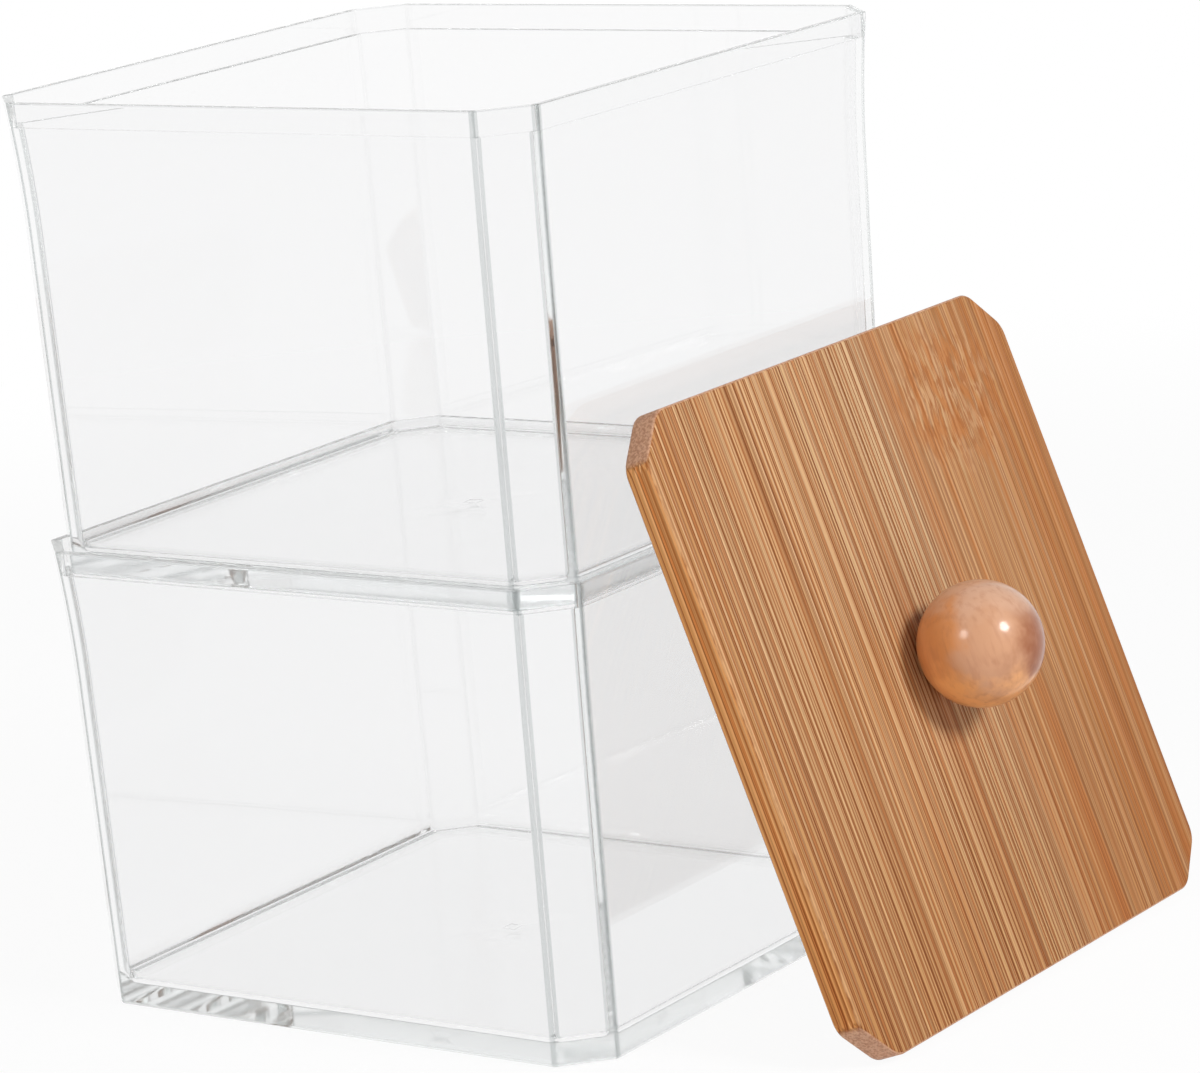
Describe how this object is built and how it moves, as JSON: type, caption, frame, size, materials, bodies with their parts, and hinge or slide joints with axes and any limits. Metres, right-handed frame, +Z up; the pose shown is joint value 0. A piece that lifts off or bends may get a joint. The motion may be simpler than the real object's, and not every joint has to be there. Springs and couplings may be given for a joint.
{
  "type": "stackable clear canister set with bamboo lid",
  "caption": "Clear square storage boxes with cut corners that nest in a stack, and a bamboo lid with a ball knob leaning on the stack.",
  "frame": {"origin": "middle of the lower box's flat underside, on the surface that the stack and the lid stand on", "axes": "+Z up through the stack; +X to the side on which the lid leans; -Y is the front"},
  "size_m": [0.1455, 0.1188, 0.1471],
  "materials": {
    "clear_plastic": "clear, polished injection moulding",
    "bamboo": "straight-grained laminated bamboo, satin oil",
    "knob_wood": "turned wood, clear gloss lacquer",
    "screw_steel": "zinc-plated steel"
  },
  "bodies": {
    "lower": {"lower_box": "clear_plastic"},
    "upper": {"upper_box": "clear_plastic"},
    "lid": {"lid_board": "bamboo", "lid_plug": "bamboo", "knob": "knob_wood", "knob_screw": "screw_steel"}
  },
  "joints": [
    {"name": "upper_box_lift", "type": "slide", "parent": "lower", "child": "upper", "axis": [0, 0, 1], "range_m": [0, 0.1]},
    {"name": "lid_lift", "type": "slide", "parent": "lower", "child": "lid", "axis": [0.9421, 0, 0.3355], "range_m": [0, 0.06]}
  ]
}
